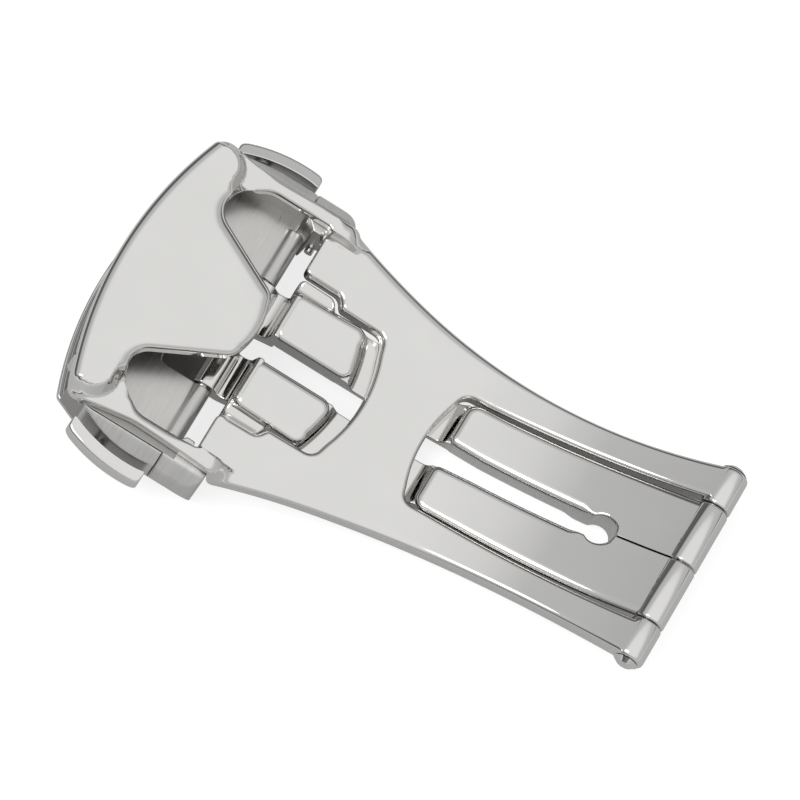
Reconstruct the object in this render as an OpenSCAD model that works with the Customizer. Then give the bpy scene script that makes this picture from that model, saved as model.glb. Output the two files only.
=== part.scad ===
// Push-button folding clasp for a leather or rubber watch strap, shown closed.
// The head's own frame has X from the head's rim to the fold hinge, Y across the strap
// and Z from the outer cover to the wrist. placed() sets that frame in its resting pose.

/* [Strap] */
// Width of the strap that the head takes
strap_w = 18; // [16:1:22]
// Play between the strap and each side wall
strap_play = 0.2; // [0.1:0.05:0.4]
// Height of the slot that the strap is threaded through
slot_h = 2.5; // [2:0.1:3.2]

/* [Head] */
// Length of the head from the rim to the ends of its lugs
head_l = 13.7; // [13:0.1:16]
// Thickness of the side walls beside the strap
wall_t = 3.1; // [2.9:0.1:3.6]
// Thickness of the outer cover
cover_t = 1.0; // [0.8:0.1:1.6]
// Thickness of the head frame's base
base_t = 0.7; // [0.5:0.1:1.2]
// Thickness of the floor plate
floor_t = 1.0; // [0.8:0.1:1.4]
// Depth of the recess between the side walls' tops and the floor plate
recess_h = 1.8; // [1.4:0.1:2.2]
// Radius of the rim in plan
rim_r = 31; // [26:1:60]
// Length of the flap from the rim to its tip
flap_l = 11.5; // [11:0.1:12]

/* [Blades] */
// Radius of the blades' wrist side
blade_r = 47.8; // [40:0.1:70]
// Thickness of the inner blade
plate_t = 1.4; // [1:0.1:1.6]
// Thickness of the flap
flap_t = 1.4; // [1:0.1:1.6]
// Thickness of the strips beside the recess
strip_t = 0.9; // [0.7:0.05:1.1]
// Rise of the flap's top over the strips
flap_rise = 1.25; // [0.9:0.05:1.5]
// Drop from the strips' top to the flat part of the inner blade
dish = 1.15; // [0.9:0.05:1.3]
// Distance from the rim to the fold hinge
hinge_x = 45.6; // [42:0.1:52]
// Half the width of the inner blade at its waist
waist = 7.3; // [7:0.1:8.5]
// Half the width of the inner blade's window at the bridge
window_half = 4.85; // [4.6:0.05:5.2]
// Half the width of the slot between the centre blades
slot_half = 0.98; // [0.8:0.02:1.2]

/* [Hinges] */
// Radius of the fold hinge's knuckles
knuckle_r = 1.2; // [1:0.05:1.5]
// Radius of the fold hinge's pin
fold_pin_r = 0.55; // [0.4:0.05:0.7]
// Radius of the barrels at the head hinge
barrel_r = 0.95; // [0.8:0.05:1.1]
// Radius of the head hinge's pin
head_pin_r = 0.45; // [0.3:0.05:0.55]

/* [Buttons] */
// Travel of each button
stroke = 0.45; // [0.3:0.05:0.5]
// Length of a button's cap
cap_l = 6.1; // [5:0.1:6.4]
// Thickness of a button's cap
cap_t = 1.0; // [0.7:0.05:1.2]

/* [Hidden] */
$fn = 96;

fit = 0.03;    // radial clearance of a pin that turns
gap = 0.1;     // clearance between pieces that slide past each other
room = 0.2;    // clearance between neighbours that move apart
seat = 0.04;   // clearance between a spring's end and its seat
far = 60;      // longer than any piece

// Levels of the head, from the cover's flat bottom upwards
base_z = cover_t;
slot_z = base_z + base_t;
shelf_z = slot_z + slot_h;
floor_z = shelf_z + floor_t;
wall_z = floor_z + recess_h;
strip_z = wall_z + 0.05;
strip_top = strip_z + strip_t;
flap_z = strip_top + flap_rise;
plate_z = strip_top - dish;

// Widths of the head, as distances from the middle
slot_y = strap_w / 2 + strap_play;
wall_y = slot_y + wall_t;
cheek_t = 1.1;
frame_y = wall_y - cheek_t;
recess_y = frame_y - 0.8;
flap_y = frame_y + 0.4;
crest_y = frame_y - 0.9;
cover_y = frame_y - 0.6;
cheek_x0 = 3.3;
cheek_x1 = 10.1;
neck_x = 4.3;
flap_tip_r = 6;
bell_half = 5.6;
bell_tip_half = 2.5;
head_corner = 2;
bow_x = 8.3;
bow_r = 10.5;
slope_top = 1.1;
slope_low = 0.8;
slope_low_h = 2;

// Lengths of the head
cover_x0 = 0.2;
cover_x1 = 11;
floor_x0 = 3.2;
floor_x1 = 11.1;
plate_x0 = 12.2;
strip_end = head_l + 1.9;

// Blades: a flat stretch from the head to bend_x, then an arc about arc_z
bend_x = 20.8;
arc_z = plate_z + blade_r;
pad_drop = 0.15;
blade_drop = 2.6;
saddle_drop = plate_t + gap;
notch_half = 5.4;
mouth_half = 6.3;
mouth_x1 = 15.5;
notch_x1 = 20.4;
bridge_x1 = 25.7;
pad_inset = 0.2;
pad_end_inset = 1.4;
edge_r = 61;
edge_x = 34.8;
opening_bow = 12;
keyhole_x = 39.4;
keyhole_r = 1.0;
slit_half = 0.06;

// Fold hinge
fold_ring_r = blade_r + knuckle_r;
fold_angle = asin((hinge_x - bend_x) / fold_ring_r);
hinge_z = arc_z - fold_ring_r * cos(fold_angle);
knuckle_y = 5.1;
hinge_y = waist + edge_r - sqrt(pow(edge_r, 2) - pow(hinge_x - edge_x, 2));
pin_dome = 0.3;

// Head hinge
barrel_x = floor_x1 - barrel_r;
barrel_z = floor_z - 0.5;
prong_half = 4.6;
prong_x = barrel_x + 2.1;
floor_cut_x = 6.6;

// Button, lever and spring on one side
stem_x = 5.8;
stem_r = 0.6;
stem_tip_r = 0.3;
pivot_x = 9.0;
pivot_y = frame_y - 0.7;
mech_z = slot_z + 0.3;
mech_h = shelf_z - mech_z - 0.2;
pocket_y = slot_y + 0.45;
lever_y0 = pivot_y;
lever_y1 = frame_y - 0.1;
nose_x = 11.65;
nose_r = 0.32;
nose_z = mech_z + mech_h - 0.45;
nose_out = 0.3;
pivot_r = 0.35;
spring_x = 5.0;
spring_r = 0.65;
spring_wire = 0.12;
spring_y = slot_y + 0.15;
cap_in = stroke + gap;
cap_x = 6.6;
cap_drop = 1.2;
cap_stem_y = wall_y - bow_r + sqrt(pow(bow_r + cap_in, 2) - pow(bow_x - stem_x, 2));

// Stud that goes into one of the strap's holes
stud_x = 6;
stud_r = 0.6;
stud_h = 1.5;
stud_head_r = 0.85;

// Spring bar for the fixed strap end
bar_x = 2.1;
bar_z = strip_z - 1.9;
bar_r = 0.75;
bar_half = 7.6;
tip_r = 0.42;
bar_wire = 0.14;
tip_in = 2.2;
ear_y = bar_half + room;
ear_t = 1.0;

// Resting pose: the head's cover edge and the centre blades share one tangent line
corner_to_arc = norm([bend_x - cover_x1, arc_z]);
rest_tilt = atan2(arc_z, bend_x - cover_x1) - asin((blade_r + blade_drop) / corner_to_arc);
rest_x0 = (cover_x0 - cover_x1) * cos(rest_tilt);
rest_x1 = (hinge_x - cover_x1) * cos(rest_tilt) + hinge_z * sin(rest_tilt) + knuckle_r;

module placed() {
    translate([-(rest_x0 + rest_x1) / 2, 0, 0])
        rotate([0, rest_tilt, 0]) translate([-cover_x1, 0, 0]) children();
}

// Both halves of a shape that is the same on either side of the middle
module both_sides() {
    children();
    mirror([0, 1, 0]) children();
}

module side(s) {
    if (s > 0) children(); else mirror([0, 1, 0]) children();
}

// A section drawn in X and Z, spread across the clasp from y0 to y1
module across(y0, y1) {
    translate([0, y1, 0]) rotate([90, 0, 0]) linear_extrude(y1 - y0) children();
}

// A section drawn in Y and Z, spread along the head from x0 to x1
module along(x0, x1) {
    translate([x0, 0, 0]) rotate([90, 0, 90]) linear_extrude(x1 - x0) children();
}

module round_across(x, z, r, y0, y1) {
    translate([x, y1, z]) rotate([90, 0, 0]) cylinder(r = r, h = y1 - y0);
}

// Section of a sheet whose faces lie top and bottom below the inner blade's wrist side
module sheet(top, bottom, x0, x1) {
    if (x0 < bend_x)
        translate([x0, plate_z - bottom])
            square([min(x1, bend_x) - x0, bottom - top]);
    if (x1 > bend_x)
        intersection() {
            translate([bend_x, arc_z]) difference() {
                circle(blade_r + bottom);
                circle(blade_r + top);
            }
            translate([max(x0, bend_x), 0]) square([x1 - max(x0, bend_x), arc_z]);
        }
}

// Plan outlines

module rim_disc(x0) {
    translate([x0 + rim_r, 0]) circle(rim_r);
}

// The flap: its rim and neck, and the bell with straight flanks and a bowed tip
module flap_plan() {
    shoulder = bell_half + 1.3;
    tip_x = flap_l - 0.5;
    intersection() {
        rim_disc(0);
        union() {
            translate([0, -flap_y]) square([neck_x, 2 * flap_y]);
            intersection() {
                both_sides() polygon([[0, 0], [flap_l, 0], [flap_l, bell_tip_half],
                                      [tip_x, bell_tip_half],
                                      [neck_x + 1.1, bell_half], [neck_x, shoulder],
                                      [0, shoulder]]);
                union() {
                    translate([flap_l - flap_tip_r, 0]) circle(flap_tip_r);
                    translate([0, -far]) square([flap_l - flap_tip_r / 2, 2 * far]);
                }
            }
        }
    }
}

// Section of the flap across the clasp: level between its crests, with sloping ends, and
// hollow underneath
module flap_section() {
    difference() {
        polygon([[-flap_y, strip_z], [flap_y, strip_z], [flap_y, strip_top - 0.1],
                 [crest_y, flap_z], [-crest_y, flap_z], [-flap_y, strip_top - 0.1]]);
        translate([-crest_y + 1, strip_z - 1])
            square([2 * crest_y - 2, flap_z - flap_t - strip_z + 1]);
    }
}

// A strip beside the recess, from the neck to its tapered end on the plate
module strip_plan() {
    strip_in = recess_y - 0.65;
    polygon([[neck_x - 1.7, strip_in], [strip_end - 1.2, strip_in + 0.1],
             [strip_end, strip_in + 0.35], [strip_end - 0.9, frame_y - 0.75],
             [head_l, frame_y - 0.45], [neck_x + 2.7, frame_y - 0.25],
             [neck_x - 1.7, frame_y + 0.35]]);
}

// Side view of a strip: it lies over the side wall and runs down to the plate at its end
module strip_side() {
    strip_x = head_l + room;
    polygon([[0, strip_z], [strip_x, strip_z], [strip_x, plate_z - plate_t / 2],
             [strip_end, plate_z - plate_t / 2], [strip_end, plate_z],
             [strip_end - 3, strip_top], [0, strip_top]]);
}

module plate_plan() {
    difference() {
        union() {
            translate([plate_x0, 0.3 - slot_y])
                square([head_l + 2 * room - plate_x0, 2 * slot_y - 0.6]);
            translate([head_l + room, -wall_y])
                square([hinge_x - head_l - room, 2 * wall_y]);
        }
        both_sides() translate([edge_x, waist + edge_r]) circle(edge_r);
        notch_plan();
        window_plan();
    }
}

// The notch between the bell's tip and the bridge, with a wider mouth and a bowed end. It
// is drawn in by inset at its sides and by end_inset at its end
module notch_plan(inset = 0, end_inset = 0) {
    half = notch_half - inset;
    x1 = notch_x1 - end_inset;
    intersection() {
        translate([barrel_x, -half]) square([x1 - barrel_x, 2 * half]);
        translate([x1 - opening_bow, 0]) circle(opening_bow);
    }
    translate([barrel_x, -mouth_half]) square([mouth_x1 - barrel_x, 2 * mouth_half]);
}

// The window from its bowed end at the bridge to the fold hinge, drawn in likewise
module window_plan(inset = 0, end_inset = 0) {
    half = window_half - inset;
    x0 = bridge_x1 + end_inset;
    end_half = knuckle_y + 0.3 - inset;
    intersection() {
        polygon([[x0, -half], [far, -end_half], [far, end_half], [x0, half]]);
        union() {
            translate([x0 + opening_bow, 0]) circle(opening_bow);
            translate([x0 + opening_bow, -far]) square([far, 2 * far]);
        }
    }
}

// Half of the centre blade, on the +Y side, between the slot and its outer edge
module half_blade_plan() {
    difference() {
        translate([barrel_x, slit_half])
            square([hinge_x - barrel_x, knuckle_y - gap - slit_half]);
        translate([0, -far]) square([keyhole_x, far + slot_half]);
        translate([keyhole_x, 0]) circle(keyhole_r);
    }
}

// Blades

module inner_blade() {
    color("gainsboro") placed() difference() {
        union() {
            intersection() {
                linear_extrude(far) flap_plan();
                along(0, flap_l) flap_section();
            }
            both_sides() intersection() {
                linear_extrude(far) strip_plan();
                across(0, far) strip_side();
            }
            intersection() {
                linear_extrude(far) plate_plan();
                across(-wall_y, wall_y) sheet(0, plate_t, plate_x0, hinge_x);
            }
            both_sides() round_across(hinge_x, hinge_z, knuckle_r, knuckle_y, hinge_y);
            both_sides() translate([bar_x - 1, ear_y, bar_z - 1])
                cube([2, ear_t, flap_z - flap_t - bar_z + 1.2]);
        }
        round_across(hinge_x, hinge_z, fold_pin_r + fit, -far, far);
        both_sides() round_across(bar_x, bar_z, tip_r + fit, ear_y - 1, ear_y + ear_t + 1);
    }
}

module half_blade(s) {
    placed() side(s) difference() {
        union() {
            intersection() {
                linear_extrude(far) half_blade_plan();
                union() {
                    // Pad in the notch, saddle under the bridge, pad in the window
                    intersection() {
                        linear_extrude(far) notch_plan(pad_inset, pad_end_inset);
                        across(0, far) sheet(pad_drop, blade_drop, prong_x, notch_x1);
                    }
                    translate([0, prong_half - far, 0]) across(0, far)
                        sheet(saddle_drop, blade_drop, barrel_x, bridge_x1 + 3);
                    intersection() {
                        linear_extrude(far) window_plan(pad_inset, pad_end_inset);
                        across(0, far) sheet(pad_drop, blade_drop, bridge_x1, hinge_x);
                    }
                }
            }
            round_across(barrel_x, barrel_z, barrel_r, slot_half, prong_half);
            round_across(hinge_x, hinge_z, knuckle_r, slit_half, knuckle_y - 0.1);
        }
        round_across(barrel_x, barrel_z, head_pin_r + fit, -far, far);
        round_across(hinge_x, hinge_z, fold_pin_r + fit, -far, far);
    }
}

module fold_hinge_pin() {
    color("silver") placed() {
        round_across(hinge_x, hinge_z, fold_pin_r, -hinge_y - 0.02, hinge_y + 0.02);
        both_sides() translate([hinge_x, hinge_y + 0.02, hinge_z]) rotate([-90, 0, 0])
            cylinder(r1 = knuckle_r - 0.25, r2 = fold_pin_r, h = pin_dome);
    }
}

// Head

module head_plan(x0, y) {
    intersection() {
        rim_disc(x0);
        union() {
            translate([x0 + head_corner, -y]) square([far, 2 * y]);
            translate([x0, head_corner - y]) square([far, 2 * (y - head_corner)]);
            both_sides() translate([x0 + head_corner, y - head_corner]) circle(head_corner);
        }
    }
}

// Disc that bounds the cheeks in plan, made larger by out
module bow_disc(out = 0) {
    translate([bow_x, wall_y - bow_r]) circle(bow_r + out);
}

// The slopes cut from the outer edges of a cheek and a lug, above and below
module edge_slopes() {
    along(0, head_l + 1) {
        polygon([[wall_y - slope_top, wall_z], [wall_y + 1, wall_z - slope_top - 1],
                 [wall_y + 1, wall_z + 1], [wall_y - slope_top, wall_z + 1]]);
        polygon([[wall_y - slope_low, base_z], [wall_y, base_z + slope_low_h],
                 [wall_y + 1, base_z + slope_low_h], [wall_y + 1, base_z - 1],
                 [wall_y - slope_low, base_z - 1]]);
    }
}

module head_frame() {
    color("silver") placed() difference() {
        union() {
            // Base under the strap slot
            translate([0, 0, base_z]) linear_extrude(base_t) intersection() {
                head_plan(cover_x0 + 0.2, frame_y - 0.3);
                square([2 * cover_x1, far], center = true);
            }
            // Side walls, thin beside the recess and full height
            both_sides() {
                translate([cheek_x0 - 1.3, slot_y, base_z])
                    cube([floor_x1 - cheek_x0 + 1.3, frame_y - slot_y, shelf_z - base_z]);
                translate([cheek_x0 - 1.3, recess_y, base_z])
                    cube([floor_x1 - cheek_x0 + 1.3, frame_y - recess_y, wall_z - base_z]);
                translate([0, 0, base_z]) linear_extrude(wall_z - base_z)
                    polygon([[cheek_x1 + 0.15, frame_y - 1], [floor_x1, slot_y],
                             [head_l, slot_y], [head_l, wall_y - 1], [head_l - 0.4, wall_y - 0.3],
                             [head_l - 1.2, wall_y], [cheek_x1 + 0.15, wall_y]]);
            }
        }
        both_sides() edge_slopes();
        both_sides() {
            // Pocket for the lever, open to the cheek, and its way to the nose
            translate([spring_x - 1, pocket_y, mech_z])
                cube([cheek_x1 - spring_x + 1, far, mech_h]);
            translate([cheek_x1 - 1, pocket_y, mech_z])
                cube([nose_x + 0.9 - cheek_x1 + 1, frame_y + 0.2 - pocket_y, mech_h]);
            round_across(nose_x, nose_z, nose_r + room, 0, pocket_y + gap);
            translate([pivot_x, pivot_y, mech_z - 0.2])
                cylinder(r = pivot_r, h = mech_h + 0.3);
            round_across(spring_x, mech_z + mech_h / 2, spring_r + gap, spring_y, pocket_y + gap);
        }
        translate([stud_x, 0, 0]) cylinder(r = stud_r, h = far);
    }
}

module floor_plate() {
    corner = 2;
    color("darkgray") placed() difference() {
        union() {
            translate([0, 0, shelf_z]) linear_extrude(floor_t) difference() {
                translate([floor_x0, -recess_y + 0.05])
                    square([barrel_x - floor_x0, 2 * recess_y - 0.1]);
                translate([floor_cut_x, -prong_half - 0.1])
                    square([far, 2 * prong_half + 0.2]);
            }
            both_sides()
                round_across(barrel_x, barrel_z, barrel_r, prong_half + 0.1, slot_y - 0.05);
        }
        round_across(barrel_x, barrel_z, head_pin_r, -far, far);
    }
}

module cover() {
    color("gainsboro") placed() linear_extrude(cover_t) intersection() {
        head_plan(cover_x0, cover_y);
        translate([-1, -far]) square([cover_x1 + 1, 2 * far]);
    }
}

module head_hinge_pin() {
    color("silver") placed()
        round_across(barrel_x, barrel_z, head_pin_r, 0.1 - slot_y, slot_y - 0.1);
}

module strap_stud() {
    color("silver") placed() translate([stud_x, 0, base_z]) {
        cylinder(r = stud_r, h = base_t + stud_h);
        translate([0, 0, base_t + stud_h]) sphere(r = stud_head_r);
    }
}

module side_cheek(s) {
    placed() side(s) difference() {
        translate([0, 0, base_z]) linear_extrude(wall_z - base_z) intersection() {
            translate([cheek_x0, frame_y]) square([cheek_x1 - cheek_x0, far]);
            bow_disc();
        }
        edge_slopes();
        round_across(stem_x, mech_z + mech_h / 2, stem_r + 0.05, 0, far);
    }
}

module button(s) {
    cap_z0 = mech_z + mech_h / 2 - stem_r - 0.1;
    placed() side(s) {
        translate([0, 0, cap_z0]) linear_extrude(wall_z - cap_drop - cap_z0) intersection() {
            translate([cap_x - cap_l / 2, frame_y]) square([cap_l, far]);
            difference() {
                bow_disc(cap_in + cap_t);
                bow_disc(cap_in);
            }
        }
        round_across(stem_x, mech_z + mech_h / 2, stem_r, lever_y1 + 0.5, cap_stem_y + 0.3);
        round_across(stem_x, mech_z + mech_h / 2, stem_tip_r, lever_y1 + 0.05, cap_stem_y);
    }
}

module catch_lever(s) {
    placed() side(s) difference() {
        union() {
            translate([0, 0, mech_z + 0.1]) linear_extrude(mech_h - 0.2) {
                translate([pivot_x, pivot_y]) circle(pivot_r + 0.3);
                polygon([[spring_x - 0.8, lever_y0], [pivot_x, lever_y0 - 0.3],
                         [nose_x + 0.4, lever_y0 - 0.1], [nose_x + 0.4, lever_y0 + 0.4],
                         [pivot_x, lever_y1], [spring_x - 0.8, lever_y1]]);
            }
            round_across(nose_x, nose_z, nose_r, slot_y - nose_out, lever_y0);
        }
        translate([pivot_x, pivot_y, 0]) cylinder(r = pivot_r + fit, h = far);
    }
}

module lever_pin(s) {
    placed() side(s) translate([pivot_x, pivot_y, mech_z - 0.2])
        cylinder(r = pivot_r, h = mech_h + 0.3);
}

// A coil of round wire about Z, from points along a helix
module coil(r, wire, height, turns, per_turn) {
    sides = 6;
    steps = turns * per_turn;
    rise = (height - wire) / steps;
    points = [for (i = [0:steps], k = [0:sides - 1])
        let (a = 360 * i / per_turn, b = 360 * k / sides, d = r - wire / 2 + wire / 2 * cos(b))
        [d * cos(a), d * sin(a), wire / 2 + rise * i + wire / 2 * sin(b)]];
    faces = concat(
        [for (i = [0:steps - 1], k = [0:sides - 1]) let (n = (k + 1) % sides)
            [i * sides + k, i * sides + n, (i + 1) * sides + n]],
        [for (i = [0:steps - 1], k = [0:sides - 1]) let (n = (k + 1) % sides)
            [i * sides + k, (i + 1) * sides + n, (i + 1) * sides + k]],
        [[for (k = [sides - 1:-1:0]) k]],
        [[for (k = [0:sides - 1]) steps * sides + k]]);
    polyhedron(points, faces);
}

module lever_spring(s) {
    placed() side(s) translate([spring_x, spring_y + seat, mech_z + mech_h / 2])
        rotate([-90, 0, 0]) coil(spring_r, spring_wire, lever_y0 - spring_y - 2 * seat, 3, 12);
}

// Spring bar

module spring_bar_tube() {
    color("silver") placed() difference() {
        round_across(bar_x, bar_z, bar_r, -bar_half, bar_half);
        round_across(bar_x, bar_z, tip_r + fit, -bar_half - 1, bar_half + 1);
    }
}

module spring_bar_tip(s) {
    placed() side(s)
        round_across(bar_x, bar_z, tip_r, bar_half - tip_in, ear_y + ear_t - gap);
}

module spring_bar_spring() {
    color("silver") placed()
        translate([bar_x, tip_in + seat - bar_half, bar_z]) rotate([-90, 0, 0])
            coil(tip_r - fit, bar_wire, 2 * (bar_half - tip_in - seat), 20, 8);
}

inner_blade();
color("gainsboro") half_blade(1);  // centre_blade_left
color("gainsboro") half_blade(-1);  // centre_blade_right
fold_hinge_pin();
head_frame();
floor_plate();
cover();
head_hinge_pin();
strap_stud();
color("silver") side_cheek(1);  // side_cheek_left
color("silver") side_cheek(-1);  // side_cheek_right
color("gainsboro") button(1);  // button_left
color("gainsboro") button(-1);  // button_right
color("gray") catch_lever(1);  // catch_lever_left
color("gray") catch_lever(-1);  // catch_lever_right
color("silver") lever_pin(1);  // lever_pin_left
color("silver") lever_pin(-1);  // lever_pin_right
color("silver") lever_spring(1);  // lever_spring_left
color("silver") lever_spring(-1);  // lever_spring_right
spring_bar_tube();
color("silver") spring_bar_tip(1);  // spring_bar_tip_left
color("silver") spring_bar_tip(-1);  // spring_bar_tip_right
spring_bar_spring();
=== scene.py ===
"""Push-button folding clasp in polished and brushed steel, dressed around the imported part."""
import math

import bpy
import numpy as np
from mathutils import Matrix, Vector
from mathutils.geometry import delaunay_2d_cdt


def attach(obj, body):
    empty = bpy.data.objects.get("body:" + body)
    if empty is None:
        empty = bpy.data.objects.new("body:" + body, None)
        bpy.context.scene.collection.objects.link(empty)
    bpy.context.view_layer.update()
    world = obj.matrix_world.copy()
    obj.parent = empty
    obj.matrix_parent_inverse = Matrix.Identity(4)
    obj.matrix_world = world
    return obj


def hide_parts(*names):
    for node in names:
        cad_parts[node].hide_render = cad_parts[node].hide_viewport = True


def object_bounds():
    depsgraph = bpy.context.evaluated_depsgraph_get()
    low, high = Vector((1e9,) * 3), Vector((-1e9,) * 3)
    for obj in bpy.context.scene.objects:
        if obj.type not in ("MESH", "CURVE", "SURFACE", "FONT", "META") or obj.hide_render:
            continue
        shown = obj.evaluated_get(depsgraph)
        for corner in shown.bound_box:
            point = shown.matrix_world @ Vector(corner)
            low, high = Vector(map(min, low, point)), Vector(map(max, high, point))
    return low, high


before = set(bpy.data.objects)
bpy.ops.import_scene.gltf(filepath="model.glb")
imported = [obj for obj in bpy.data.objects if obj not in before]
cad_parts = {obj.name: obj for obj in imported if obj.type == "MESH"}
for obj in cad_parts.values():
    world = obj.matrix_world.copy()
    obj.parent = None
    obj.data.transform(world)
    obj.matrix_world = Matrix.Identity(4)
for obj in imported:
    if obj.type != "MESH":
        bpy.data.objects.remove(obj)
cad_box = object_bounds()

MM = 0.001

# Levels and lines shared by several pieces, in mm in the head's own frame: X from the rim
# to the fold hinge, Y across the strap, Z from the outer cover to the wrist
COVER_X0, COVER_END = 0.2, 11.0
COVER_BOW_X0, COVER_BOW_R = -0.05, 26.7
BASE_Z = 1.0
SLOT_Z = 1.7
SHELF_Z = 4.2
FLOOR_Z = 5.2
WALL_Z = 7.0
STRIP_Z = 7.05
STRIP_TOP = 7.95
FLAP_Z = 9.2
FLAP_T = 1.4
PLATE_Z = 6.8
PLATE_T = 1.4
PAD_DROP = 0.15
PAD_BOTTOM = 2.6
FRAME_Y = 11.2
WALL_IN = 10.0
LUG_IN, LUG_OUT, LUG_END = 9.22, 12.28, 13.66
RIM_R = 31.0
BRIDGE_X0, BRIDGE_X1, BRIDGE_BOW = 20.5, 25.65, 22
BEND_X = 20.8
BLADE_R = 47.8
ARC_Z = PLATE_Z + BLADE_R
HINGE_X = 45.6
KNUCKLE_R = 1.2
FOLD_ANGLE = math.asin((HINGE_X - BEND_X) / (BLADE_R + KNUCKLE_R))
HINGE_Z = ARC_Z - (BLADE_R + KNUCKLE_R) * math.cos(FOLD_ANGLE)
ROLL_X = BEND_X + BLADE_R * math.sin(FOLD_ANGLE)
BARREL_X, BARREL_Z, BARREL_R = 10.15, 4.7, 0.76
SLOT_HALF = 0.98
KEYHOLE_X, KEYHOLE_R = 39.45, 1.12
STEM_X, STEM_Z = 5.8, 3.0
BOW_X, BOW_Y, BOW_R = 8.3, 1.8, 10.5
CAP_IN, CAP_T = 0.55, 1.0
LAYER = 0.03  # sets hidden faces of joined bodies apart, so that no two share a plane
TINY = 0.001  # least width of an edge where it is meant to be square

# Resting pose: the cover's end and the blades' outer side share a tangent line
REST_TILT = math.atan2(ARC_Z, BEND_X - COVER_END) - math.asin(
    (BLADE_R + PAD_BOTTOM) / math.hypot(BEND_X - COVER_END, ARC_Z))
REST_X0 = (COVER_X0 - COVER_END) * math.cos(REST_TILT)
REST_X1 = ((HINGE_X - COVER_END) * math.cos(REST_TILT) + HINGE_Z * math.sin(REST_TILT)
           + KNUCKLE_R)


def tilted(vectors):
    """Vectors of the head's frame turned by the resting tilt about Y."""
    x, y, z = np.asarray(vectors, float).T
    c, s = math.cos(REST_TILT), math.sin(REST_TILT)
    return np.stack([x * c + z * s, y, z * c - x * s], 1)


def seat_in_head(points):
    """Points in the head's frame, in mm: moved to the cover's end, tilted, shifted along X
    so that the clasp is centred, and given in metres in the row's frame."""
    shift = -(REST_X0 + REST_X1) / 2
    return (tilted(points - np.array([COVER_END, 0, 0])) + (shift, 0, 0)) * MM


def smooth(t):
    """Zero below 0, one above 1, and 3t^2 - 2t^3 between."""
    t = np.clip(t, 0, 1)
    return t * t * (3 - 2 * t)


def ridge(s, soft=0.12):
    """Zero below 0 and s above it, with a bend about soft wide between."""
    return (s + np.sqrt(s * s + soft * soft)) / 2


def unit(vectors):
    return vectors / np.maximum(np.linalg.norm(vectors, axis=1), 1e-9)[:, None]


def blade_level(x, drop=0.0):
    """Height of the blades' wrist side less drop: flat up to BEND_X, then a circle about
    (BEND_X, ARC_Z) of radius BLADE_R + drop."""
    past = np.maximum(x - BEND_X, 0)
    return ARC_Z - np.sqrt((BLADE_R + drop) ** 2 - past ** 2)


def level(height):
    return lambda x, y: height + 0 * x


def below_blade(drop):
    return lambda x, y: blade_level(x, drop)


def rim_x(x0, y, radius=RIM_R):
    """X of the head's bowed end at y: a circle of the radius that starts at x0."""
    return x0 + radius - np.sqrt(radius ** 2 - y ** 2)


# Outlines

# Corners are rows of (x, y, radius)

def rounded(corners, step=0.25):
    """Closed outline through corners: each is replaced by the arc of its radius tangent to
    both its sides, and the straights are cut to about step."""
    corners = np.array(corners, float)
    knots, radii = corners[:, :2], corners[:, 2]
    before = np.roll(knots, 1, 0) - knots
    after = np.roll(knots, -1, 0) - knots
    before /= np.linalg.norm(before, axis=1)[:, None]
    after /= np.linalg.norm(after, axis=1)[:, None]
    half = np.arccos(np.clip((before * after).sum(1), -1, 1)) / 2
    reach = radii / np.tan(half)
    middle = before + after
    middle /= np.maximum(np.linalg.norm(middle, axis=1), 1e-9)[:, None]
    centre = knots + middle * (radii / np.sin(half))[:, None]
    path = []
    for k in range(len(knots)):
        a, b = knots[k] + before[k] * reach[k], knots[k] + after[k] * reach[k]
        if radii[k] > 0:
            u, v = a - centre[k], b - centre[k]
            turn = math.atan2(u[0] * v[1] - u[1] * v[0], u @ v)
            count = max(3, int(abs(turn) * radii[k] / min(step, 0.12 + radii[k] / 12)) + 1)
            t = np.linspace(0, turn, count)
            path.append(centre[k] + np.stack([u[0] * np.cos(t) - u[1] * np.sin(t),
                                              u[0] * np.sin(t) + u[1] * np.cos(t)], 1))
        else:
            path.append(a[None])
    loop = np.concatenate(path)
    return evened(loop, step)


def evened(loop, step):
    """The same closed outline with no side longer than step."""
    ends = np.roll(loop, -1, 0)
    counts = np.maximum(1, np.ceil(np.linalg.norm(ends - loop, axis=1) / step).astype(int))
    start = np.repeat(loop, counts, 0)
    side = np.repeat(ends - loop, counts, 0)
    share = np.concatenate([np.arange(n) / n for n in counts])
    return start + side * share[:, None]


def other_way(corners):
    """Corners mirrored across the clasp, in the order that keeps the turn."""
    return np.array(corners, float)[::-1] * (1, -1, 1)


def run(x, y):
    """Corners without a radius through the arrays x and y."""
    return np.column_stack([x, y, 0 * x])


def bowed_plate(x0, corners):
    """Outline of a plate of the head: its bowed end starts at x0, and corners run from
    there along the left side to the mouth."""
    y = np.linspace(9.2, -9.2, 40)
    corners = np.array(corners)
    return rounded(np.concatenate([corners * (1, -1, 1), corners[::-1],
                                   run(rim_x(x0, y, COVER_BOW_R), y)]))


def inward(loop):
    """Unit normals to the left of a closed outline, from its neighbouring points."""
    along = np.roll(loop, -1, 0) - np.roll(loop, 1, 0)
    return unit(np.stack([-along[:, 1], along[:, 0]], 1))


def inside(points, loops):
    """Even-odd test of points against all the outlines at once."""
    hit = np.zeros(len(points), bool)
    for loop in loops:
        a, b = loop, np.roll(loop, -1, 0)
        py = points[:, 1][:, None]
        spans = (a[:, 1] > py) != (b[:, 1] > py)
        rise = np.where(b[:, 1] == a[:, 1], 1e-12, b[:, 1] - a[:, 1])
        at = a[:, 0] + (py - a[:, 1]) * (b[:, 0] - a[:, 0]) / rise
        hit ^= ((spans & (points[:, 0][:, None] < at)).sum(1) % 2).astype(bool)
    return hit


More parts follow.
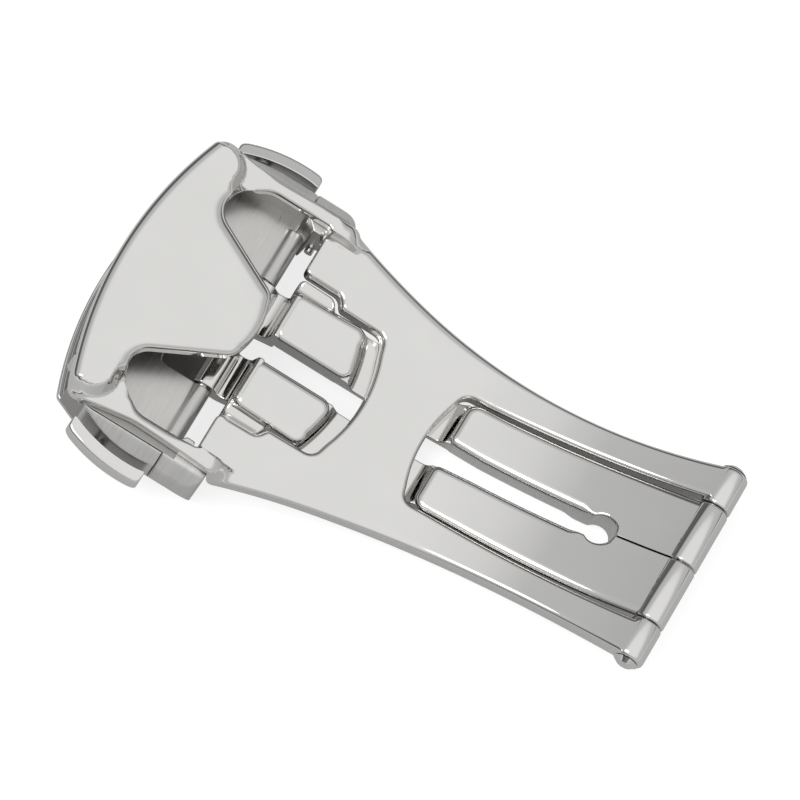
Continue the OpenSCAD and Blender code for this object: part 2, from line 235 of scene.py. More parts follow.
def fill(loops, grid):
    """Triangles that fill the outlines: a Delaunay net over their points and a square grid
    of points inside them. Returns the grid points added and the triangles, which turn
    anticlockwise."""
    edge = np.concatenate(loops)
    low, high = edge.min(0), edge.max(0)
    gx, gy = np.meshgrid(np.arange(low[0] + grid / 2, high[0], grid),
                         np.arange(low[1] + grid / 2, high[1], grid), indexing="ij")
    spots = np.stack([gx.ravel(), gy.ravel()], 1)
    spots = spots[inside(spots, loops)]
    nearest = np.concatenate([
        np.sqrt(((part[:, None] - edge[None]) ** 2).sum(2)).min(1)
        for part in np.array_split(spots, max(1, len(spots) // 2000))]) if len(spots) else []
    spots = spots[np.asarray(nearest) > grid * 0.55] if len(spots) else spots
    points = np.concatenate([edge, spots])
    sides, base = [], 0
    for loop in loops:
        n = len(loop)
        sides += [(base + i, base + (i + 1) % n) for i in range(n)]
        base += n
    out = delaunay_2d_cdt([tuple(p) for p in points], sides, [], 0, 1e-7, True)
    origin = np.array([ids[0] if ids else -1 for ids in out[3]])
    triangles = origin[np.array([f for f in out[2] if len(f) == 3])]
    triangles = triangles[(triangles >= 0).all(1)]
    a, b, c = points[triangles].transpose(1, 0, 2)
    area = (b[:, 0] - a[:, 0]) * (c[:, 1] - a[:, 1]) - (b[:, 1] - a[:, 1]) * (c[:, 0] - a[:, 0])
    triangles = np.where((area > 0)[:, None], triangles, triangles[:, ::-1])
    return spots, triangles[inside((a + b + c) / 3, loops)]


# Bodies: each is (points in mm, normals, faces), and a normal of zero is left to Blender

def make_piece(name, part, body, finish, hides=(), crease=32.0):
    """A piece from a body of the head's frame. Edges sharper than crease degrees stay
    sharp, and the body's own normals shade its curved faces."""
    points, normals, faces = part
    mesh = bpy.data.meshes.new(name)
    mesh.from_pydata(seat_in_head(points), [], [tuple(f) for some in faces
                                                for f in some.tolist()])
    mesh.shade_smooth()
    mesh.set_sharp_from_angle(angle=math.radians(crease))
    mesh.normals_split_custom_set_from_vertices(tilted(normals))
    piece = bpy.data.objects.new(name, mesh)
    bpy.context.scene.collection.objects.link(piece)
    piece.data.materials.append(finish)
    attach(piece, body)
    if hides:
        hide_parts(*hides)
    return piece


def facing(height, x, y):
    """Unit normal of the surface height(x, y): (-dh/dx, -dh/dy, 1), by differences."""
    step = 1e-3
    return unit(np.column_stack([height(x - step, y) - height(x + step, y),
                                 height(x, y - step) - height(x, y + step),
                                 np.full(len(x), 2 * step)]))


def slab(loops, top, bottom, top_edge=(0.15, 0.15), bottom_edge=(0.15, 0.15), grid=0.4,
         upright=False, rows=9):
    """A plate between the heights top(x, y) and bottom(x, y) inside the outlines. The first
    outline runs anticlockwise and the others clockwise. Its edges are quarter ellipses, as
    wide and as high as the pair of numbers, or of arrays along the joined outlines, says:
    at the turn t the edge is drawn in by width (1 - sin t) and down by height (1 - cos t),
    and faces along height sin t outwards and width cos t upwards. With upright, the
    outlines lie in X and Z and the heights run along Y."""
    joined = np.concatenate(loops)
    normal = np.concatenate([inward(loop) for loop in loops])
    outward = np.column_stack([-normal, np.zeros(len(normal))])
    count = len(joined)
    turns = np.linspace(0, math.pi / 2, rows)
    rings, facings = [], []
    for height, edge, sign, order in ((top, top_edge, 1, turns),
                                      (bottom, bottom_edge, -1, turns[::-1])):
        wide, deep = (np.broadcast_to(np.asarray(v, float), count) for v in edge)
        for t in order:
            xy = joined + normal * (wide * (1 - math.sin(t)))[:, None]
            rings.append(np.column_stack([xy, height(*xy.T) - sign * deep
                                          * (1 - math.cos(t))]))
            facings.append(unit(facing(height, *xy.T) * (sign * wide * math.cos(t))[:, None]
                                + outward * (deep * math.sin(t))[:, None]))
    following = np.concatenate([np.roll(np.arange(len(loop)), -1) + base for loop, base in
                                zip(loops, np.cumsum([0] + [len(q) for q in loops[:-1]]))])
    here = np.arange(count)
    faces = [np.stack([here + k * count, here + (k + 1) * count,
                       following + (k + 1) * count, following + k * count], 1)
             for k in range(len(rings) - 1)]
    points, normals, total = list(rings), list(facings), count * len(rings)
    splits = np.cumsum([len(loop) for loop in loops])[:-1]
    for ring, height, sign, start in ((rings[0], top, 1, 0),
                                      (rings[-1], bottom, -1, (len(rings) - 1) * count)):
        spots, triangles = fill(np.split(ring[:, :2], splits), grid)
        triangles = triangles[:, ::sign]
        points.append(np.column_stack([spots, height(*spots.T)]))
        normals.append(facing(height, *spots.T) * sign)
        faces.append(np.where(triangles < count, triangles + start,
                              triangles - count + total))
        total += len(spots)
    points, normals = np.concatenate(points), np.concatenate(normals)
    if upright:
        return points[:, (0, 2, 1)], normals[:, (0, 2, 1)], [f[:, ::-1] for f in faces]
    return points, normals, faces


def turned(profile, centre, sides=72):
    """A body turned about an axis along Y through centre (x, z): profile is a row of
    (y, radius) with y rising, closed by a flat face at both ends."""
    profile = np.array(profile, float)
    angle = np.arange(sides) * 2 * math.pi / sides
    x = centre[0] + profile[:, 1][:, None] * np.cos(angle)
    z = centre[1] + profile[:, 1][:, None] * np.sin(angle)
    y = np.repeat(profile[:, 0][:, None], sides, 1)
    points = np.stack([x, y, z], 2).reshape(-1, 3)
    rows = np.arange(len(profile) - 1)[:, None] * sides
    k = np.arange(sides)[None]
    n = (k + 1) % sides
    faces = np.stack([rows + k, rows + sides + k, rows + sides + n, rows + n], 2)
    ends = [np.arange(sides)[None], (np.arange(sides)[::-1] + (len(profile) - 1) * sides)[None]]
    return points, 0 * points, [faces.reshape(-1, 4)] + ends


def join(*parts):
    """Several bodies as one."""
    points, normals, faces, total = [], [], [], 0
    for spots, facings, lists in parts:
        points.append(spots)
        normals.append(facings)
        faces += [f + total for f in lists]
        total += len(spots)
    return np.concatenate(points), np.concatenate(normals), faces


def mirrored(part):
    """The same body on the other side of the clasp."""
    points, normals, faces = part
    return points * (1, -1, 1), normals * (1, -1, 1), [f[:, ::-1] for f in faces]


def on_side(part, side):
    return part if side > 0 else mirrored(part)


# Finishes

class Field:
    """A shader value. + and * on it add Math nodes to its tree."""

    def __init__(self, finish, socket):
        self.finish, self.socket = finish, socket

    def _with(self, operation, *values):
        return self.finish.node("ShaderNodeMath", {"operation": operation},
                                {i: v for i, v in enumerate(values)})

    def __add__(self, other):
        return self._with("ADD", self, other)

    def __radd__(self, other):
        return self._with("ADD", other, self)

    def __mul__(self, other):
        return self._with("MULTIPLY", self, other)

    def __rmul__(self, other):
        return self._with("MULTIPLY", other, self)


class Finish:
    """A material under a Principled BSDF, and the one method that adds its other nodes."""

    def __init__(self, name):
        self.material = bpy.data.materials.new(name)
        self.material.use_nodes = True
        self.tree = self.material.node_tree
        self.shader = self.tree.nodes["Principled BSDF"]

    def node(self, kind, settings=None, inputs=None, output=0):
        made = self.tree.nodes.new(kind)
        for key, value in (settings or {}).items():
            setattr(made, key, value)
        for key, value in (inputs or {}).items():
            self.put(made.inputs[key], value)
        return Field(self, made.outputs[output])

    def put(self, socket, value):
        if isinstance(value, Field):
            self.tree.links.new(value.socket, socket)
        else:
            socket.default_value = value

    def set(self, **values):
        for key, value in values.items():
            self.put(self.shader.inputs[key.replace("_", " ")], value)
        return self

    def place(self, turn=(0, 0, 0), scale=(1, 1, 1)):
        """Object coordinates, turned and then stretched."""
        spot = self.node("ShaderNodeTexCoord", output=3)
        spot = self.node("ShaderNodeMapping", {"vector_type": "POINT"},
                         {"Vector": spot, "Rotation": turn})
        return self.node("ShaderNodeMapping", {"vector_type": "POINT"},
                         {"Vector": spot, "Scale": scale})

    def noise(self, vector, scale=1.0, detail=2.0, rough=0.5):
        return self.node("ShaderNodeTexNoise", {},
                         {"Vector": vector, "Scale": scale, "Detail": detail,
                          "Roughness": rough})

    def mix(self, share, dark, light):
        return self.node("ShaderNodeMix", {"data_type": "RGBA"},
                         {0: share, 6: dark, 7: light}, output=2)


def polished(name, tint=(0.72, 0.715, 0.70), rough=0.075):
    """Mirror steel: faint cloudy wear in the roughness and colour, and hairlines."""
    steel = Finish(name)
    spot = steel.place()
    cloud = steel.noise(spot, 260.0, 3.0)
    hair = steel.noise(steel.place(turn=(0.3, 0.2, 0.9), scale=(9000, 500, 900)), 1.0, 2.0)
    darker = tuple(0.93 * c for c in tint) + (1,)
    steel.set(Base_Color=steel.mix(cloud, darker, tint + (1,)), Metallic=1.0,
              Roughness=rough - 0.02 + cloud * 0.04 + hair * 0.015)
    bump = steel.node("ShaderNodeBump", {}, {"Strength": 0.05, "Distance": 2e-6,
                                            "Height": hair})
    return steel.set(Normal=bump).material


def brushed(name, stretch, tint=(0.60, 0.595, 0.58), rough=0.3, strength=0.55):
    """Satin steel: strokes of fine noise, long one way and narrow the others, that darken
    the colour, vary the roughness and stand as a low bump."""
    steel = Finish(name)
    turn = (0, -REST_TILT, 0)
    fine = steel.noise(steel.place(turn, stretch), 1.0, 3.0, 0.6)
    broad = steel.noise(steel.place(turn, tuple(0.3 * s for s in stretch)), 1.0, 2.0)
    strokes = fine * 0.65 + broad * 0.35
    darker = tuple(0.72 * c for c in tint) + (1,)
    steel.set(Base_Color=steel.mix(strokes, darker, tuple(min(1, 1.12 * c) for c in tint)
                                   + (1,)),
              Metallic=1.0, Roughness=rough - 0.08 + strokes * 0.16)
    bump = steel.node("ShaderNodeBump", {}, {"Strength": strength, "Distance": 1.2e-5,
                                            "Height": strokes})
    return steel.set(Normal=bump).material


MIRROR = polished("mirror_steel")
# Painted shade: a darker, slightly rougher copy of the mirror steel, for the parts that sit in
# shade inside the head
MIRROR_PAINTED_SHADE = polished("mirror_steel_painted_shade", tint=(0.62, 0.615, 0.60), rough=0.12)
SATIN_ACROSS = brushed("satin_steel_across", (9000, 500, 9000))
SATIN_UP = brushed("satin_steel_upright", (7000, 400, 400), tint=(0.68, 0.675, 0.66))
# Painted shade: a darker copy of the satin steel, for the head frame's walls in the shade under
# the strips' overhang
SATIN_PAINTED_SHADE = brushed("satin_steel_painted_shade", (9000, 9000, 500), tint=(0.4, 0.395, 0.385),
                     rough=0.34)
WIRE = brushed("drawn_wire", (2500, 2500, 2500), tint=(0.5, 0.49, 0.47), rough=0.25)


# Inner blade

def flap_level(x, y):
    """The flap: level, falling at its ends and behind its neck to the strips' top. The fall
    starts 1.2 mm from a block that ends at x = 2.9 and |y| = 9.1."""
    side = np.abs(y)
    beyond = np.hypot(np.maximum(x - 2.9, 0), np.maximum(side - 9.1, 0)) - 1.2
    fall = smooth(beyond / 0.95) * smooth((side - 7.5) / 1.5)
    return FLAP_Z - (FLAP_Z - STRIP_TOP) * fall


def strip_share(x, y):
    """How much of the strips' height stands on the plate: a ridge about middle that narrows
    and runs down along X, steep inside and, past the lugs, gently sloped outside."""
    side = np.abs(y)
    middle = 10.3 - 0.1 * (x - 12.5)
    reach = 0.6 - 0.15 * np.clip(x - 12.5, 0, 3)
    inner = smooth((side - middle + reach + 0.4) / 0.4)
    outer = 1 - smooth((side - middle - reach + 0.25 - 0.9 * (1 - smooth((x - 13.4) / 1.2)))
                       / 0.6)
    return inner * outer * (1 - smooth((x - 13.2) / 2.3))


def blade_top(x, y):
    """The flap and strips over the head, and past x = 12 the plate with the strips' ends."""
    plate = blade_level(x)
    return np.where(x < 12, flap_level(x, y),
                    plate + (STRIP_TOP - plate) * strip_share(x, y))


def blade_bottom(x, y):
    """Under the flap FLAP_T below its top, level under the ends and strips until the lugs
    end, and PLATE_T below the wrist side under the plate."""
    side = np.abs(y)
    over_head = STRIP_Z + (FLAP_Z - FLAP_T - STRIP_Z) * (1 - smooth((side - 9.0) / 0.35))
    over_lug = smooth((side - 9.3) / 0.15)
    clear = (1 - over_lug) * smooth((x - 11.95) / 0.2) + over_lug * smooth((x - 13.72) / 0.15)
    return over_head * (1 - clear) + blade_level(x, PLATE_T) * clear


def waist_edge(x):
    """Half the plate's width at x: a circle of radius 61 about x = 34.8, outside it."""
    return 7.3 + 61 - np.sqrt(61 ** 2 - (x - 34.8) ** 2)


def blade_loops():
    """The blade's outer outline, with the window open at the hinge end, and the opening
    over the head, whose rim side is the bell-shaped flap. The bridge between them has bowed
    sides, and the flap's tip is an arc of radius 6."""
    x = np.linspace(14.3, ROLL_X, 54)
    y = np.linspace(-3.7, 3.7, 16)
    lower = run(x, -waist_edge(x))
    near = np.array([(2.25, -11.5, 0.84), (4.6, -11.02, 2.5), (7.2, -10.62, 6), (10, -10.72, 9),
                     (13.5, -10.9, 1.5)])
    window = np.array([(ROLL_X, 5.38, 0), (28.5, 4.72, 9), (26.55, 4.72, 0.9)])
    end = run(BRIDGE_X1 + y ** 2 / BRIDGE_BOW, y)
    rim_y = np.linspace(10.4, -10.4, 44)
    outer = np.concatenate([near, lower, window * (1, -1, 1), end, window[::-1],
                            other_way(lower), other_way(near),
                            run(rim_x(0, rim_y), rim_y)])
    y = np.linspace(-4.0, 4.0, 14)
    notch = run(BRIDGE_X0 - y ** 2 / BRIDGE_BOW, y)
    flank = np.array([(12.1, 6.3, 0.5), (15.2, 6.25, 0.7), (15.75, 5.4, 0.5),
                      (19.4, 5.35, 0.9)])
    bell = np.array([(12.1, 9.86, 0.25), (7.2, 9.88, 2.0), (5.15, 8.6, 1.9), (4.45, 6.2, 1.7),
                     (10.95, 2.75, 1.3)])
    tip_y = np.linspace(2.0, -2.0, 9)
    tip = run(5.5 + np.sqrt(6 ** 2 - tip_y ** 2), tip_y)
    hole = np.concatenate([bell, tip, other_way(bell), flank * (1, -1, 1), notch,
                           flank[::-1]])
    return [rounded(outer), rounded(hole)[::-1]]


def build_inner_blade():
    """One plate from the rim to the hinge, two knuckles rolled at its end, and an ear under
    each side of the flap for the spring bar. Its edges are widest at the rim and around
    the flap (rolled), on the strips' inner side (hollow) and at the plate's shoulders."""
    loops = blade_loops()
    x, y = np.concatenate(loops).T
    in_hole = np.arange(len(x)) >= len(loops[0])
    rolled = (1 - smooth((x - 2.2) / 1.2)) * ~in_hole + (1 - smooth((x - 11.8) / 0.3)) * (
        1 - smooth((np.abs(y) - 8.2) / 1.4)) * in_hole
    on_plate = smooth((x - 12.2) / 0.8)
    before_hinge = 1 - smooth((x - ROLL_X + 0.3) / 0.25)
    hollow = in_hole * (np.abs(y) > 9.2) * smooth((x - 5.8) / 1.6) * (
        1 - smooth((x - 9.5) / 2.5))
    strip = ~in_hole * smooth((x - 5) / 1.2) * (1 - smooth((x - 10.5) / 1.5))
    shoulder = ~in_hole * (np.abs(y) > 5.9) * (1 - smooth((x - 20) / 14))
    wide = (0.2 + (0.2 + 0.5 * shoulder) * on_plate + (0.6 + 0.4 * in_hole) * rolled
            + 0.4 * hollow - 0.1 * strip) * before_hinge + TINY
    deep = (0.2 + 0.2 * on_plate + (0.36 + 0.14 * in_hole) * rolled
            + 0.3 * hollow) * before_hinge + TINY
    thick = blade_top(x, y) - blade_bottom(x, y)
    low = 0.1 * before_hinge + TINY
    plate = slab(loops, blade_top, blade_bottom, (wide, np.minimum(deep, 0.5 * thick)),
                 (low, np.minimum(low, 0.3 * thick)), grid=0.16)
    tube = turned([(5.1, 1.05), (5.16, 1.17), (5.25, KNUCKLE_R), (7.85, KNUCKLE_R),
                   (8.05, 1.15), (8.2, 1.0), (8.24, 0.85)], (HINGE_X, HINGE_Z))
    ear = slab([rounded([(1.2, 4.2, 0.85), (3.0, 4.2, 0.85), (3.0, 7.9, 0), (1.2, 7.9, 0)])],
               level(8.8), level(7.8), (0.12, 0.12), (0.12, 0.12), upright=True)
    make_piece("inner_blade_steel", join(plate, tube, mirrored(tube), ear, mirrored(ear)),
               "inner", MIRROR, ["inner_blade"])


# Centre blades

def saddle_top(x, y):
    """The saddle under the bridge, PLATE_T + 0.1 down, curving up to the pads' ends by a
    height that grows as the square of the way there."""
    to_prong = np.clip((19.6 - y ** 2 / 26 - x) / 0.7, 0, 1)
    to_window = np.clip((x - 26.45) / 0.7, 0, 1)
    return blade_level(x, PLATE_T + 0.1) + 0.75 * (to_prong ** 2 + to_window ** 2)


def tab_top(x, y):
    """The tab beside the prong's pad, 0.9 down and hollowed along its length."""
    return blade_level(x, 0.95) - 0.25 * np.sin(np.clip((y - 4.8) / 1.3, 0, 1) * math.pi)


def lower_edge(x, y):
    """Width and height of a half blade's lower edge: small, and rolled further along the
    slit up to the keyhole."""
    roll = (1 - smooth((y - 1.1) / 0.5)) * (1 - smooth((x - 36.6) / 1.2))
    return 0.1 + 0.3 * roll, 0.1 + 0.8 * roll


def build_half_blade(name, node, side):
    """One centre blade: a rolled barrel, a neck up to the prong's pad, a tab beside it, a
    saddle that passes under the bridge, and the pad in the window, beside the slit and
    keyhole, that rolls into the hinge's knuckle."""
    y = np.linspace(2.1, 3.9, 6)
    prong = [rounded(np.concatenate([
        np.array([(12.35, SLOT_HALF, 0.8), (18.93, SLOT_HALF, 0.9)]),
        run(19.0 - y ** 2 / 26, y), np.array([(18.4, 5.15, 0.95), (12.35, 4.95, 0.8)])]))]
    pad = slab(prong, below_blade(PAD_DROP), below_blade(PAD_BOTTOM), (0.7, 0.55),
               lower_edge(*prong[0].T), grid=0.2)
    neck = slab([rounded([(13.0, 6.6, 0.16), (12.5, 6.6, 0.29), (12.15, 5.0, 0.5),
                          (11.4, 4.8, 0.4), (10.8, 5.6, 0.5), (9.75, 5.6, 0.4),
                          (9.2, 4.7, 0.7), (9.75, 3.84, 0.3), (11.4, 3.7, 0.6),
                          (13.0, 4.2, 0.16)], 0.1)],
                level(4.6), level(SLOT_HALF), (0.12, 0.12), (0.12, 0.12), upright=True)
    under = rounded([(12.6, SLOT_HALF + 0.02, 0.5), (28.4, SLOT_HALF + 0.02, 0.5),
                     (28.4, 4.35, 0), (21.6, 4.5, 0), (20.3, 5.2, 0), (12.6, 5.0, 0)])
    saddle = slab([under], saddle_top, below_blade(PAD_BOTTOM - LAYER), (0.12, 0.12),
                  lower_edge(*under.T), grid=0.12)
    tab = slab([rounded([(12.25, 3.9, 0.35), (15.6, 3.9, 0.35), (15.6, 5.3, 0.4),
                         (15.05, 6.13, 0.75), (12.25, 6.18, 0.4)], 0.15)],
               tab_top, below_blade(PAD_BOTTOM - 2 * LAYER), (0.3, 0.3), (0.1, 0.1),
               grid=0.15)
    angle = np.linspace(math.pi - 1.15, math.atan2(0.07, 1), 16)
    hole = run(KEYHOLE_X + KEYHOLE_R * np.cos(angle), KEYHOLE_R * np.sin(angle))
    window = [rounded(np.concatenate([
        np.array([(27.1, SLOT_HALF, 0.65), (30, 0.84, 9), (38.69, 0.82, 0.25)]), hole,
        np.array([(40.75, 0.06, 0.1), (ROLL_X, 0.06, 0), (ROLL_X, 5.0, 0),
                  (40.0, 4.92, 12), (30.5, 4.62, 12), (27.1, 4.57, 1.0)])]))]
    x, y = window[0].T
    before_hinge = 1 - smooth((x - ROLL_X + 0.3) / 0.25)
    past_keyhole = smooth((x - 40.2) / 0.6) * (y < 0.5)
    size = before_hinge * (1 - 0.8 * past_keyhole) * np.where(
        y < 1.3, 1 - 0.6 * smooth((x - 37.6) / 0.8), 1)
    low = [v * before_hinge + TINY for v in lower_edge(x, y)]
    plate = slab(window, below_blade(PAD_DROP), below_blade(PAD_BOTTOM),
                 (0.6 * size + TINY, 0.5 * size + TINY), low, grid=0.25)
    tube = turned([(0.07, 1.1), (0.12, 1.17), (0.2, KNUCKLE_R), (4.8, KNUCKLE_R),
                   (4.94, 1.14), (5.0, 1.0)], (HINGE_X, HINGE_Z))
    make_piece(name, on_side(join(pad, neck, saddle, tab, plate, tube), side), "centre_blades",
               MIRROR, [node])


# Head

def side_top(x, y):
    """Top of the head's sides: level, falling at 45 degrees past FRAME_Y, and lower beside
    the strap where the plate's corner lies."""
    side = np.abs(y)
    corner = (1 - smooth((side - 9.35) / 0.15)) * smooth((x - 11.7) / 0.3)
    return WALL_Z - 1.75 * corner - ridge(side - FRAME_Y) - 0.5 * ridge(x - 13.1, 0.2)


def side_bottom(x, y):
    """Bottom of the head's sides: rising 2.5 in 1 past |y| = 11.1."""
    return BASE_Z + 2.5 * ridge(np.abs(y) - 11.1)


def lug_bottom(x, y):
    """Bottom of a lug: as the sides', and 2.9 higher beside the mouth."""
    beside = smooth((x - 11.1) / 0.3) * (1 - smooth((np.abs(y) - 10.3) / 0.3))
    return side_bottom(x, y) + 2.9 * beside


def bow(x, out=0.0):
    """Y of the bowed side at x: a circle about (BOW_X, BOW_Y), made larger by out."""
    return BOW_Y + np.sqrt((BOW_R + out) ** 2 - (x - BOW_X) ** 2)


def build_lug(name, side):
    """A lug beside the strap: its outer side sloped above and below, its end rounded."""
    outline = rounded([(10.15, 10.2, 0), (11.1, LUG_IN, 0.17), (LUG_END, LUG_IN, 0.2),
                       (LUG_END, LUG_OUT, 1.3), (10.15, LUG_OUT, 0.16)], 0.15)
    block = slab([outline], side_top, lug_bottom, (0.14, 0.14), (0.14, 0.14), grid=0.15)
    make_piece(name, on_side(block, side), "head", SATIN_UP)


def build_cap(name, node, side, body):
    """A button's cap: a bowed bar, rounded at its rim end, its outer lower edge rolled far
    in, on a round stem."""
    x = np.linspace(9.2, 3.9, 18)
    outer = run(x, bow(x, CAP_IN + CAP_T))
    outline = rounded(np.concatenate([
        run(x[::-1], bow(x[::-1], CAP_IN)), [(9.85, 12.7, 0.1)], [(9.85, 13.72, 0.45)],
        outer, [(3.42, 12.72, 0.45)], [(3.5, 11.78, 0.1)]]), 0.15)
    out = smooth((outline[:, 1] - bow(outline[:, 0], CAP_IN)) / CAP_T - 0.1)
    cap = slab([outline],
               lambda a, b: 5.8 - 0.22 * (b - bow(a, CAP_IN)),
               lambda a, b: 2.3 + 1.2 * smooth((b - bow(a, CAP_IN)) / 0.9),
               (0.1 + 0.14 * out, 0.1 + 0.16 * out), (0.1 + 0.55 * out, 0.1 + 1.0 * out),
               grid=0.25)
    stem = turned([(11.7, 0.6), (12.6, 0.6)], (STEM_X, STEM_Z), 40)
    tip = turned([(11.15, 0.2), (11.25, 0.3), (11.8, 0.3)], (STEM_X, STEM_Z), 32)
    make_piece(name, on_side(join(cap, stem, tip), side), body, MIRROR,
               [node])


def build_cheek(name, node, side):
    """A brushed plate beside the button, tapering to the rim, sloped above and below. Its
    edges narrow to the tip."""
    x = np.linspace(10.0, 3.9, 26)
    outline = rounded(np.concatenate([
        run(x, bow(x)), [(3.62, 11.21, 0.02)], [(10.12, 11.21, 0)],
        [(10.12, 12.14, 0.12)]]), 0.15)
    edge = 0.1 * smooth((outline[:, 0] - 3.6) / 0.8) + 4 * TINY
    plate = slab([outline], side_top, side_bottom, (edge, edge), (edge, edge), grid=0.2)
    make_piece(name, on_side(plate, side), "head", SATIN_UP, [node])


def build_cover():
    """The outer cover: a plate with a bowed end, its bottom edge rolled."""
    outline = bowed_plate(COVER_BOW_X0, [(1.72, 9.55, 0.5), (3.7, 10.42, 1.5),
                                         (10.98, 10.6, 0.5)])
    cover = slab([outline], level(BASE_Z), level(0.0), (0.12, 0.12), (0.45, 0.5))
    make_piece("cover_steel", cover, "head", MIRROR, ["cover"])


def build_floor_plate():
    """The brushed floor of the recess, cut out for the blades' barrels, and the two barrels
    that it rolls into, with a concave bend before each."""
    plate = slab([rounded([(3.2, -10.3, 0.8), (BARREL_X, -10.3, 0.15),
                           (BARREL_X, -4.7, 0), (6.6, -4.7, 0.4), (6.6, 4.7, 0.4),
                           (BARREL_X, 4.7, 0), (BARREL_X, 10.3, 0.15), (3.2, 10.3, 0.8)])],
                 level(FLOOR_Z), level(SHELF_Z), (0.1, 0.1), (0.1, 0.1))
    angle = np.linspace(-math.pi / 2, math.radians(112), 40)
    ring = run(BARREL_X + BARREL_R * np.cos(angle), BARREL_Z + BARREL_R * np.sin(angle))
    section = rounded(np.concatenate([ring, [(9.55, FLOOR_Z + 0.004, 0.35)],
                                      [(8.6, FLOOR_Z - 0.02, 0.15)], [(8.6, 4.4, 0.15)],
                                      [(9.6, 4.0, 0.3)]]), 0.1)
    barrel = slab([section], level(9.12), level(4.72), (0.12, 0.12), (0.12, 0.12),
                  upright=True, grid=0.3)
    make_piece("floor_plate_steel", join(plate, barrel, mirrored(barrel)), "head",
               SATIN_ACROSS, ["floor_plate"])


def build_head_frame():
    """Base under the strap, and the side walls with the shelf that carries the floor."""
    base = slab([bowed_plate(COVER_BOW_X0 + 0.2, [(1.95, 9.6, 0.3), (3.8, 10.6, 1.5),
                                                  (COVER_END, 10.9, 0.3)])],
                level(SLOT_Z), level(BASE_Z))
    wall = slab([rounded([(3.5, WALL_IN, 0), (11.1, WALL_IN, 0), (11.1, FRAME_Y, 0),
                          (3.5, FRAME_Y, 0)])],
                level(WALL_Z), level(BASE_Z), (0.05, 0.05), (0.05, 0.05))
    foot = slab([rounded([(2.0, 9.2, 0), (COVER_END, 9.2, 0), (COVER_END, 10.6, 0),
                          (3.9, 10.6, 0), (2.0, 9.75, 0.1)])],
                level(SHELF_Z), level(BASE_Z), (0.05, 0.05), (0.05, 0.05))
    # The frame takes the darker satin, which paints the shade in the recess under the strips
    make_piece("head_frame_steel", join(base, wall, mirrored(wall), foot, mirrored(foot)),
               "head", SATIN_PAINTED_SHADE, ["head_frame"])


build_inner_blade()
build_half_blade("centre_blade_left_steel", "centre_blade_left", 1)
build_half_blade("centre_blade_right_steel", "centre_blade_right", -1)
build_head_frame()
build_cover()
build_floor_plate()
for word, side in (("left", 1), ("right", -1)):
    build_lug("lug_" + word, side)
    build_cheek("cheek_" + word, "side_cheek_" + word, side)
    build_cap("cap_" + word, "button_" + word, side, "button_" + word)


# Finish of the pieces that keep their imported shape

# The levers, their pins and the spring bar's tube take the darker mirror steel, which paints
# their shade inside the head
KEPT = {"fold_hinge_pin": MIRROR, "head_hinge_pin": MIRROR, "strap_stud": MIRROR,
        "catch_lever_left": MIRROR_PAINTED_SHADE, "catch_lever_right": MIRROR_PAINTED_SHADE,
        "lever_pin_left": MIRROR_PAINTED_SHADE, "lever_pin_right": MIRROR_PAINTED_SHADE,
        "lever_spring_left": WIRE, "lever_spring_right": WIRE,
        "spring_bar_tube": MIRROR_PAINTED_SHADE, "spring_bar_tip_left": MIRROR,
        "spring_bar_tip_right": MIRROR, "spring_bar_spring": WIRE}
for node, finish in KEPT.items():
    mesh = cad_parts[node].data
    mesh.materials.clear()
    mesh.materials.append(finish)


# Studio

def add(tree, kind, inputs=None, **settings):
    """A node of the stage's trees, with its settings and then its sockets' values or
    links."""
    node = tree.nodes.new(kind)
    for key, value in settings.items():
        setattr(node, key, value)
    for key, value in (inputs or {}).items():
        if hasattr(value, "links"):
            tree.links.new(value, node.inputs[key])
        else:
            node.inputs[key].default_value = value
    return node


# The room's brightness against the nearness of a direction to SKY_AXIS
SKY = [(0.0, 0.16), (0.12, 0.10), (0.26, 0.25), (0.33, 0.58), (0.45, 0.62), (0.62, 0.66),
       (0.72, 0.90), (0.82, 1.0)]
SKY_AXIS = (0.35, -0.15, 0.92)

TABLE_COLOUR = (0.42, 0.42, 0.42, 1)
TABLE_GLOW = 0.76  # added for the camera, so that the lit table shows white
TABLE_DEPTH = 0.00002


def build_world():
    """White for the camera. For light and reflections a room whose brightness falls with
    the angle from SKY_AXIS, to a dark band near the table."""
    world = bpy.data.worlds.new("studio")
    bpy.context.scene.world = world
    world.use_nodes = True
    tree = world.node_tree
    tree.nodes.clear()
    spot = add(tree, "ShaderNodeTexCoord")
    nearness = add(tree, "ShaderNodeVectorMath", {0: spot.outputs["Generated"],
                                                  1: SKY_AXIS}, operation="DOT_PRODUCT")
    ramp = add(tree, "ShaderNodeValToRGB", {0: nearness.outputs["Value"]})
    stops = ramp.color_ramp.elements
    while len(stops) < len(SKY):
        stops.new(0.5)
    for stop, (place, value) in zip(stops, SKY):
        stop.position, stop.color = place, (value, value, value, 1)
    room = add(tree, "ShaderNodeBackground", {0: ramp.outputs[0]})
    white = add(tree, "ShaderNodeBackground", {0: (1, 1, 1, 1)})
    path = add(tree, "ShaderNodeLightPath")
    seen = add(tree, "ShaderNodeMath", {0: path.outputs["Is Camera Ray"],
                                        1: path.outputs["Is Transmission Ray"]},
               operation="MAXIMUM")
    mix = add(tree, "ShaderNodeMixShader", {0: seen.outputs[0], 1: room.outputs[0],
                                            2: white.outputs[0]})
    add(tree, "ShaderNodeOutputWorld", {0: mix.outputs[0]})


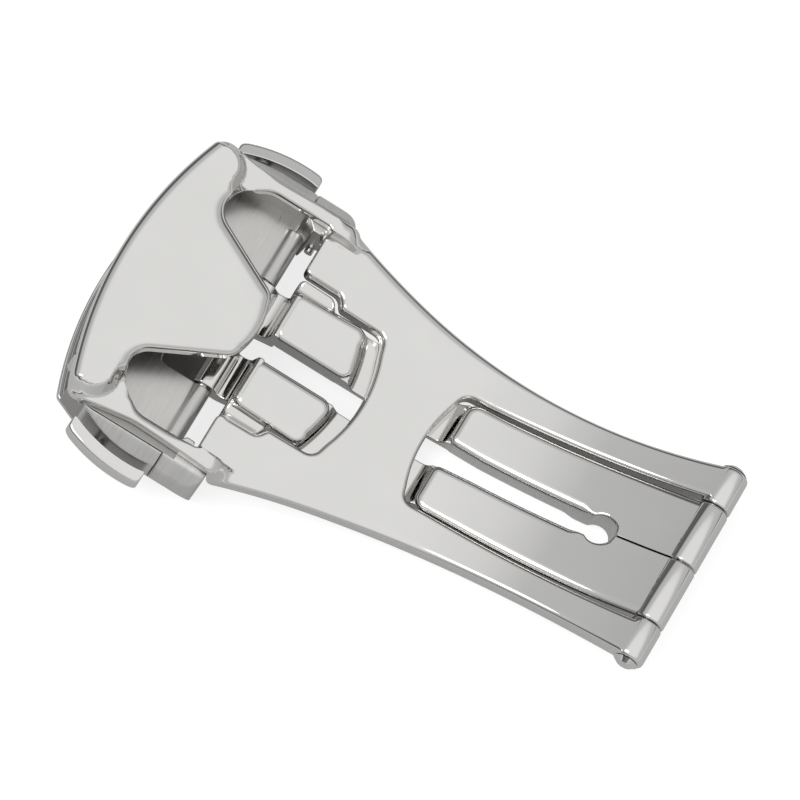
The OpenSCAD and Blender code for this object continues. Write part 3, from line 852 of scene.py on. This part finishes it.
def build_table():
    """A pale table that shows white to the camera, and keeps the clasp's soft shadow. To
    mirrors it adds a painted glow that grows with the distance from its centre, so that it is
    dark under the clasp and paler from 20 to 200 mm away."""
    mesh = bpy.data.meshes.new("table")
    mesh.from_pydata([(-3, -3, 0), (3, -3, 0), (3, 3, 0), (-3, 3, 0)], [], [(0, 1, 2, 3)])
    table = bpy.data.objects.new("table", mesh)
    bpy.context.scene.collection.objects.link(table)
    matter = bpy.data.materials.new("table")
    matter.use_nodes = True
    tree = matter.node_tree
    tree.nodes.clear()
    paper = add(tree, "ShaderNodeBsdfDiffuse", {"Color": TABLE_COLOUR})
    path = add(tree, "ShaderNodeLightPath")
    to_mirrors = add(tree, "ShaderNodeMath", {0: path.outputs["Is Glossy Ray"],
                                              1: path.outputs["Is Transmission Ray"]},
                     operation="MAXIMUM")
    # Painted light seen only in reflections: the table's glow grows from 0.15 near the clasp to
    # 0.6 at 200 mm away
    spot = add(tree, "ShaderNodeTexCoord")
    away = add(tree, "ShaderNodeVectorMath", {0: spot.outputs["Object"]},
               operation="LENGTH")
    far = add(tree, "ShaderNodeMapRange", {"Value": away.outputs["Value"], "From Min": 0.02,
                                           "From Max": 0.2, "To Min": 0.15, "To Max": 0.6})
    some = add(tree, "ShaderNodeMath", {0: to_mirrors.outputs[0], 1: far.outputs[0]},
               operation="MULTIPLY")
    strength = add(tree, "ShaderNodeMath", {0: path.outputs["Is Camera Ray"],
                                            1: TABLE_GLOW, 2: some.outputs[0]},
                   operation="MULTIPLY_ADD")
    glow = add(tree, "ShaderNodeEmission", {"Strength": strength.outputs[0]})
    both = add(tree, "ShaderNodeAddShader", {0: paper.outputs[0], 1: glow.outputs[0]})
    add(tree, "ShaderNodeOutputMaterial", {0: both.outputs[0]})
    mesh.materials.append(matter)
    table.location.z = cad_box[0][2] - TABLE_DEPTH


def build_lamp(name, place, size, power):
    """A round lamp of that size, in metres, that faces the clasp."""
    lamp = bpy.data.lights.new(name, "AREA")
    lamp.shape, lamp.size, lamp.energy = "DISK", size, power
    holder = bpy.data.objects.new(name, lamp)
    bpy.context.scene.collection.objects.link(holder)
    holder.location = place
    direction = -holder.location
    holder.rotation_euler = direction.to_track_quat("-Z", "Y").to_euler()


def build_camera():
    """A long lens at the photograph's angle: azimuth, elevation and distance are those that
    lay the clasp's edges on the photograph's."""
    turn, lift, reach = 0.4997, 1.1427, 0.6402
    target = np.array([-0.000142, 0.0008, 0.006])
    right = np.array([math.cos(turn), math.sin(turn), 0])
    up = np.array([-math.sin(turn) * math.sin(lift), math.cos(turn) * math.sin(lift),
                   math.cos(lift)])
    back = np.cross(right, up)
    lens = bpy.data.cameras.new("camera")
    lens.sensor_width, lens.lens = 36, 405
    lens.clip_start = 0.01
    camera = bpy.data.objects.new("camera", lens)
    bpy.context.scene.collection.objects.link(camera)
    matrix = np.eye(4)
    matrix[:3] = np.column_stack([right, up, back, target + back * reach])
    camera.matrix_world = Matrix(matrix.tolist())
    bpy.context.scene.camera = camera


build_world()
build_table()
build_lamp("key", (-0.25, -0.35, 0.9), 0.5, 2.5)
build_camera()
bpy.context.scene.view_settings.view_transform = "Standard"
